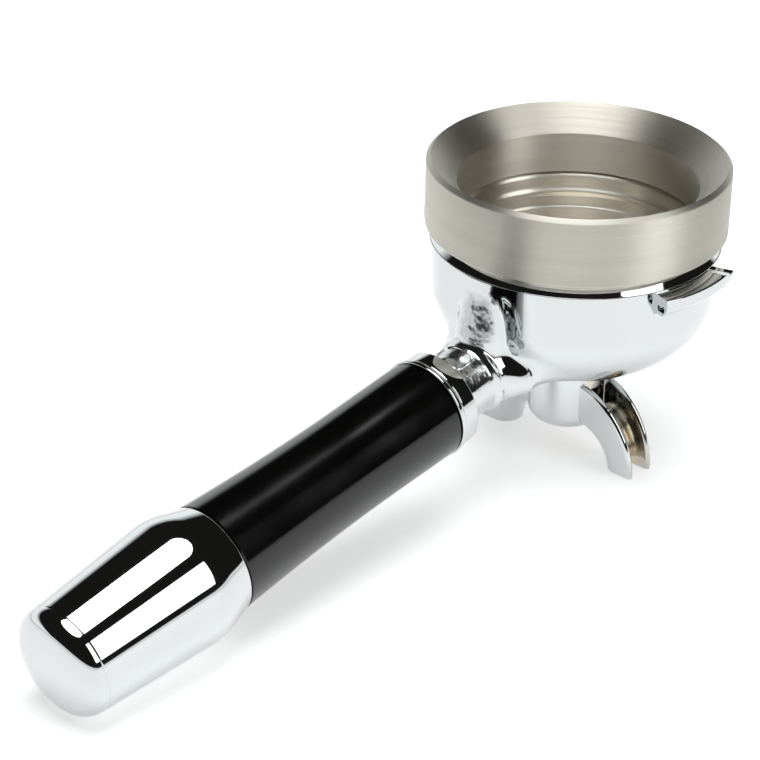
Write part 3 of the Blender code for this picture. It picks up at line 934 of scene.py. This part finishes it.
class PORTAFILTER_OT_funnel(bpy.types.Operator):
    """Build the brushed dosing funnel"""

    bl_idname = "portafilter.funnel"
    bl_label = "Dosing funnel"

    def execute(self, context):
        sizes, finishes = settings()[:2]
        bottom, top, outer = BOWL.span("dosing_funnel")
        throat, throat_height = sizes.throat_radius / MM, sizes.throat_height / MM
        seat = 60.5
        outline = [
            (outer - 1.15, top, 0.35),
            (outer, top - 0.95, 0.7),
            (outer, bottom + 0.45, 0.7),
            (outer - 0.45, bottom, 0.7),
            (35.1, bottom, 0.5),
            (35.1, seat, 0.5),
            (throat, seat, 0.8),
            (throat, throat_height, 0.5),
        ]
        mesh = mesh_from("funnel", *turned(rounded(outline, 0.35), BOWL, 320))
        shade(mesh, 25.0)
        steel = turned_steel("brushed_steel", finishes.brushed, 0.54, 0.30)
        add_piece("funnel", mesh, "funnel", "brushed_steel", steel, "dosing_funnel")
        return {"FINISHED"}


# ---------------------------------------------------------------- handle


class PORTAFILTER_OT_handle(bpy.types.Operator):
    """Build the collar, the grip and the end cap, and finish the fixings inside them"""

    bl_idname = "portafilter.handle"
    bl_label = "Handle"

    def execute(self, context):
        self.add_collar()
        self.add_grip()
        self.add_cap()
        for name in ("tie_rod", "flat_washer", "lock_washer", "rod_nut"):
            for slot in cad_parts[name].material_slots:
                slot.material = plain_steel()
        return {"FINISHED"}

    def add_collar(self):
        """A plain ring with a rounded shoulder, then a flange against the grip."""
        start, end, flange = HANDLE.span("front_collar")
        start -= 0.4
        step = end - 1.7
        outline = [
            (5.3, start, 0.0),
            (flange - 0.5, start, 0.6),
            (flange - 0.5, step, 0.5),
            (flange - 0.95, step + 0.25, 0.4),
            (flange, step + 0.5, 0.8),
            (flange, end, 0.8),
            (5.3, end, 0.0),
        ]
        mesh = mesh_from("collar", *turned(rounded(outline, 0.45), HANDLE, 192))
        shade(mesh)
        add_piece("collar", mesh, "body", "chrome", chrome_plating("mirror"), "front_collar")

    def add_grip(self):
        """The waisted grip: its radius eases down to the waist, then swells as a power of the distance."""
        start, end, _ = HANDLE.span("grip")
        start_radius, waist_radius, end_radius, waist = 12.05, 11.8, 13.1, 81.0
        along = np.linspace(start + 0.3, end - 0.2, 60)
        early = np.clip((along - start) / (waist - start), 0.0, 1.0)
        late = np.clip((along - waist) / (end - waist), 0.0, 1.0)
        ease = early * early * (3.0 - 2.0 * early)
        radius = start_radius + (waist_radius - start_radius) * ease
        radius = radius + (end_radius - waist_radius) * late**1.8
        side = np.stack([radius, along], axis=1)
        begin = np.array([(5.3, start), (start_radius - 0.3, start)])
        finish = np.array([(end_radius - 0.2, end), (9.4, end), (9.4, 109.0), (5.3, 109.0)])
        mesh = mesh_from("black_grip", *turned(np.concatenate([begin, side, finish]), HANDLE, 192))
        shade(mesh)
        add_piece("black_grip", mesh, "body", "gloss_plastic", gloss_plastic(), "grip")

    def add_cap(self):
        """The hollow cap: a flare up to its bend, a long taper, and a nose that is a third-power oval."""
        start, end, bend_radius = HANDLE.span("end_cap")
        end += 0.8
        start_radius, shoulder_radius = 13.1, 13.0
        bend, shoulder = start + 8.7, end - 5.7
        body_line = [
            (start_radius - 2.0, start, 0.0),
            (start_radius, start, 0.6),
            (bend_radius + 0.02, bend, 4.5),
            (shoulder_radius + 0.1, shoulder - 0.35, 0.2),
            (shoulder_radius - 0.08, shoulder - 0.1, 0.1),
            (shoulder_radius, shoulder, 0.0),
        ]
        flank = rounded(body_line, 0.7, 8)[:-1]
        turn = np.linspace(0.0, math.pi / 2, 26)
        nose = np.stack([
            shoulder_radius * (1.0 - np.sin(turn) ** 2.19) ** (1 / 3),
            shoulder + (end - shoulder) * np.sin(turn),
        ], axis=1)
        post = [(0.0, 135.0), (5.0, 135.0), (5.0, start + 0.5), (7.4, start + 0.5), (7.4, 160.0)]
        inside = [(shoulder_radius - 2.6, 160.0), (bend_radius - 2.0, bend)]
        outline = np.concatenate([flank, nose, np.array(post), np.array(inside)])
        mesh = mesh_from("chrome_cap", *turned(outline, HANDLE, 256))
        shade(mesh)
        add_piece("chrome_cap", mesh, "body", "chrome", chrome_plating("mirror"), "end_cap")


# ---------------------------------------------------------------- spout


HUB_RADIUS = 9.5
NIPPLE_RADIUS = 8.1
SEAL_INNER_RADIUS = 8.4
HUB_BOTTOM = 7.4
ARM_WALL = 1.8
ARM_FLOOR = 2.0


def hub_outline(top, bottom, nipple_top):
    """The hub and the nipple above it, as one turned solid with a rounded foot."""
    foot = circle(3.6, (HUB_RADIUS - 3.6, bottom + 3.6), 0.0, -90.0, 12)
    upper = rounded(
        [
            (NIPPLE_RADIUS, nipple_top, 1.0),
            (NIPPLE_RADIUS, top + 0.2, 0.3),
            (HUB_RADIUS, top, 0.8),
            (HUB_RADIUS, top - 5.0, 0.0),
        ],
        0.4,
    )
    return np.concatenate([[[0.0, nipple_top]], upper, foot, [[0.0, bottom]]])


def eased_path(points, count):
    """A smooth path through a few points: each coordinate is a cubic through them, by chord length."""
    points = np.asarray(points, float)
    chord = np.concatenate([[0.0], np.cumsum(np.linalg.norm(np.diff(points, axis=0), axis=1))])
    spread = np.linspace(0.0, chord[-1], count)
    degree = min(4, len(points) - 1)
    return np.stack([np.polyval(np.polyfit(chord, points[:, k], degree), spread) for k in range(2)], axis=1)


ARM_EDGE = ((5.4, 20.7), (10.6, 19.8), (14.4, 18.0), (18.4, 14.6), (21.6, 10.3), (23.5, 5.4), (24.2, 0.0))
ARM_BACK = ((4.4, 8.7), (8.0, 8.2), (10.3, 7.3), (12.3, 5.9), (13.8, 4.1), (14.7, 2.1), (15.2, 0.0))


def arm_sections(side, wall, floor_depth):
    """Closed sections of one arm, from the hub out to the tip.

    Point (i, j) is point j of a U between the arm's open edge and its back at place i. The U's bottom is an
    oval, its limbs are straight and their lips are half round, and the inside follows at the wall's width.
    """
    count = 44
    edge, back = eased_path(ARM_EDGE, count), eased_path(ARM_BACK, count)
    depth = np.linalg.norm(edge - back, axis=1)[:, None]
    across = (edge - back) / depth
    half = np.linspace(5.3, 4.4, count)[:, None]
    turn = np.linspace(0.0, math.pi / 2, 10)
    lip_turn = np.linspace(0.0, math.pi, 11)
    lip = wall / 2
    outer_y = half * np.sin(turn) ** 0.8
    outer_d = np.broadcast_to(4.2 * (1 - np.cos(turn)), (count, 10))
    lip_y = half - lip + lip * np.cos(lip_turn)
    lip_d = depth - lip + lip * np.sin(lip_turn)
    inner_y = (half - wall) * np.sin(turn[::-1]) ** 0.8
    inner_d = np.broadcast_to(floor_depth + 3.0 * (1 - np.cos(turn[::-1])), (count, 10))
    y = np.concatenate([outer_y, lip_y, inner_y], axis=1)
    d = np.concatenate([outer_d, lip_d, inner_d], axis=1)
    y = np.concatenate([y, -y[:, -2:0:-1]], axis=1)
    d = np.concatenate([d, d[:, -2:0:-1]], axis=1)
    place = back[:, None, :] + across[:, None, :] * d[..., None]
    return np.stack([side * place[..., 0], y, place[..., 1]], axis=-1)


def channel_core(side):
    """The space inside one arm near the hub, which opens the hub's bore into the arm's channel."""
    half = np.array([(2.9, 12.4), (3.1, 14.0), (3.1, 17.6), (2.2, 18.8)])
    across = np.concatenate([half[:1] * (-1, 1), half, half[:0:-1] * (-1, 1)])
    y, z = (np.broadcast_to(across[:, k], (2, len(across))) for k in range(2))
    x = side * np.broadcast_to(np.array([[0.0], [10.4]]), y.shape)
    return swept(np.stack([x, y, z], axis=-1))


class PORTAFILTER_OT_spout(bpy.types.Operator):
    """Build the cast twin spout and its seal"""

    bl_idname = "portafilter.spout"
    bl_label = "Twin spout and seal"

    def execute(self, context):
        nipple_top = BOWL.span("twin_spout")[1]
        seal_bottom, seal_top, seal_radius = BOWL.span("spout_seal")
        hub_top = seal_bottom - 0.3
        base = mesh_from("hub", *turned(hub_outline(hub_top, HUB_BOTTOM, nipple_top), BOWL, 160))
        steps = []
        for side in (1.0, -1.0):
            points, faces = swept(BOWL.place(arm_sections(side, ARM_WALL, ARM_FLOOR)))
            steps.append(("UNION", mesh_from("arm", points, faces)))
        bore = np.array([(0.0, 12.2), (4.6, 12.2), (5.8, 13.2), (5.8, 40.0), (0.0, 40.0)])
        steps.append(("DIFFERENCE", mesh_from("bore", *turned(bore, BOWL, 96))))
        for side in (1.0, -1.0):
            points, faces = channel_core(side)
            steps.append(("DIFFERENCE", mesh_from("channel", BOWL.place(points), faces)))
        mesh = combined("spout_casting", base, steps)
        self.finish_channels(mesh)
        shade(mesh)
        add_piece("spout_casting", mesh, "spout", "chrome", chrome_plating("mirror"), "twin_spout")
        ring = [
            (SEAL_INNER_RADIUS, seal_top, 1.0),
            (seal_radius, seal_top, 1.0),
            (seal_radius, seal_bottom, 1.0),
            (SEAL_INNER_RADIUS, seal_bottom, 1.0),
        ]
        seal = mesh_from("seal_ring", *turned(rounded(ring, 0.35), BOWL, 128))
        shade(seal)
        add_piece("seal_ring", seal, "seal", "rubber", matt_rubber(), "spout_seal")
        return {"FINISHED"}

    def finish_channels(self, mesh):
        """Gives the faces inside the arms and the bore the thinner plating."""
        mesh.materials.clear()
        mesh.materials.append(chrome_plating("mirror"))
        mesh.materials.append(channel_plating())
        centres = BOWL.local(read_all(mesh.polygons, "center", 3, np.float32).astype(float) / MM)
        normals = read_all(mesh.polygons, "normal", 3, np.float32)
        x, y, z = centres.T
        faces_out = normals[:, 0] * np.sign(x) > 0.3
        inner = (np.abs(y) < 3.6) & (np.abs(x) > 3.0) & (y * normals[:, 1] < -0.1)
        floor = (np.abs(y) < 3.0) & faces_out & (np.abs(x) < 23.0)
        in_bore = np.hypot(x, y) < 6.2
        chosen = (inner | floor | in_bore) & (z > 0.05)
        mesh.polygons.foreach_set("material_index", chosen.astype(np.int32))


# ---------------------------------------------------------------- stage


CAMERA_AIM = Vector((-0.0168, 0.0156, 0.0298))
TABLE_RADIUS = 12000.0
TABLE_HEIGHT = -0.3
TABLE_SIDES = 96
OVERHEAD_BOX = {
    "shape": "ELLIPSE",
    "place": (0.045, -0.06, 1.0),
    "size": (0.80, 0.95),
    "turn": (0.0, 0.0, 0.0),
}
SIDE_BOX = {
    "shape": "RECTANGLE",
    "place": (1.15, 0.32, 0.72),
    "size": (0.66, 0.92),
    "turn": (60.0, 0.0, 98.0),
}
ROOM_DARK = (0.012, 0.012, 0.011)
SWEEP_PALE = (1.22, 1.25, 1.25)
SWEEP_SIDE = (-0.86, 0.5, 0.0)

class PORTAFILTER_OT_stage(bpy.types.Operator):
    """Set up the camera, the table, the softboxes and the room"""

    bl_idname = "portafilter.stage"
    bl_label = "Camera and studio"

    def execute(self, context):
        stage = settings()[2]
        context.scene.view_settings.view_transform = "Standard"
        self.add_camera(stage)
        self.add_table(stage)
        self.add_softbox("overhead_box", stage.overhead, **OVERHEAD_BOX)
        self.add_softbox("side_box", stage.side, **SIDE_BOX)
        self.add_room()
        return {"FINISHED"}

    def add_camera(self, stage):
        camera = bpy.data.cameras.new("camera")
        camera.lens = stage.lens
        camera.sensor_width = 36.0
        camera.clip_start = 0.01
        holder = new_object("camera", camera)
        heading = Euler((math.pi / 2 - stage.elevation, 0.0, stage.azimuth)).to_matrix().to_4x4()
        heading = heading @ Matrix.Rotation(stage.roll, 4, "Z")
        place = CAMERA_AIM + heading.to_3x3() @ Vector((0.0, 0.0, stage.distance))
        holder.matrix_world = Matrix.Translation(place) @ heading
        bpy.context.scene.camera = holder

    def add_table(self, stage):
        """A pale round table top, so wide that its edge lies close to the horizon in a low view."""
        turn = np.linspace(0.0, math.tau, TABLE_SIDES, endpoint=False)
        level = np.full(TABLE_SIDES, TABLE_HEIGHT)
        points = np.stack([TABLE_RADIUS * np.cos(turn), TABLE_RADIUS * np.sin(turn), level], axis=1)
        mesh = bpy.data.meshes.new("table_top")
        mesh.from_pydata((points * MM).tolist(), [], [list(range(TABLE_SIDES))])
        material, tree, shader = new_material("pale_table")
        tone = tree.noise(tree.coordinates(), 3.0)
        tree.put(shader.inputs["Base Color"], tree.tint(tone, dark(stage.table, 0.985), stage.table))
        shader.inputs["Roughness"].default_value = 0.6
        shader.inputs["Specular IOR Level"].default_value = 0.2
        shader.inputs["Emission Color"].default_value = (1.0, 1.0, 1.0, 1.0)
        shader.inputs["Emission Strength"].default_value = 0.5
        mesh.materials.append(material)
        new_object("table_top", mesh)

    def add_softbox(self, name, strength, shape, place, size, turn):
        """A flat light of an even radiance that faces down, then is turned by Euler angles in degrees."""
        light = bpy.data.lights.new(name, "AREA")
        light.shape = shape
        light.size, light.size_y = size
        light.energy = strength * math.pi * size[0] * size[1]
        heading = Euler([math.radians(angle) for angle in turn]).to_matrix().to_4x4()
        new_object(name, light).matrix_world = Matrix.Translation(place) @ heading

    def add_room(self):
        """A dark room above a pale sweep, which stands higher to the object's left than to its right."""
        world = bpy.data.worlds.new("studio_room")
        bpy.context.scene.world = world
        tree = Tree(world)
        direction = tree.node("ShaderNodeTexCoord", output="Generated")
        dot = {"operation": "DOT_PRODUCT"}
        left = tree.node("ShaderNodeVectorMath", dot, [direction, SWEEP_SIDE], "Value")
        height = tree.node("ShaderNodeVectorMath", dot, [direction, (0.0, 0.0, 1.0)], "Value")
        edge = left.math("MAXIMUM", 0.0) * 0.26 + 0.02
        sweep = tree.ramp(height, edge, edge * 1.7 + 0.02, 1.0, 0.0)
        background = tree.nodes["Background"]
        tree.put(background.inputs["Color"], tree.tint(sweep, ROOM_DARK, SWEEP_PALE))


class PORTAFILTER_PT_panel(bpy.types.Panel):
    """Lists the operators and the settings"""

    bl_idname = "PORTAFILTER_PT_panel"
    bl_label = "Portafilter"
    bl_space_type = "VIEW_3D"
    bl_region_type = "UI"
    bl_category = "Portafilter"

    def draw(self, context):
        for operator in OPERATORS:
            self.layout.operator(operator.bl_idname)
        for group in settings():
            for name in group.__annotations__:
                self.layout.prop(group, name)


GROUPS = {
    "portafilter_sizes": PortafilterSizes,
    "portafilter_finishes": PortafilterFinishes,
    "portafilter_stage": PortafilterStage,
}
OPERATORS = (
    PORTAFILTER_OT_stage,
    PORTAFILTER_OT_body,
    PORTAFILTER_OT_basket,
    PORTAFILTER_OT_funnel,
    PORTAFILTER_OT_handle,
    PORTAFILTER_OT_spout,
)


def register():
    for item in (*GROUPS.values(), *OPERATORS, PORTAFILTER_PT_panel):
        bpy.utils.register_class(item)
    for name, group in GROUPS.items():
        setattr(bpy.types.Scene, name, PointerProperty(type=group))


def unregister():
    for name in GROUPS:
        delattr(bpy.types.Scene, name)
    for item in (PORTAFILTER_PT_panel, *reversed(OPERATORS), *reversed(GROUPS.values())):
        bpy.utils.unregister_class(item)


def main():
    register()
    bpy.ops.portafilter.stage()
    bpy.ops.portafilter.body()
    bpy.ops.portafilter.basket()
    bpy.ops.portafilter.funnel()
    bpy.ops.portafilter.handle()
    bpy.ops.portafilter.spout()


if __name__ == "__main__":
    main()
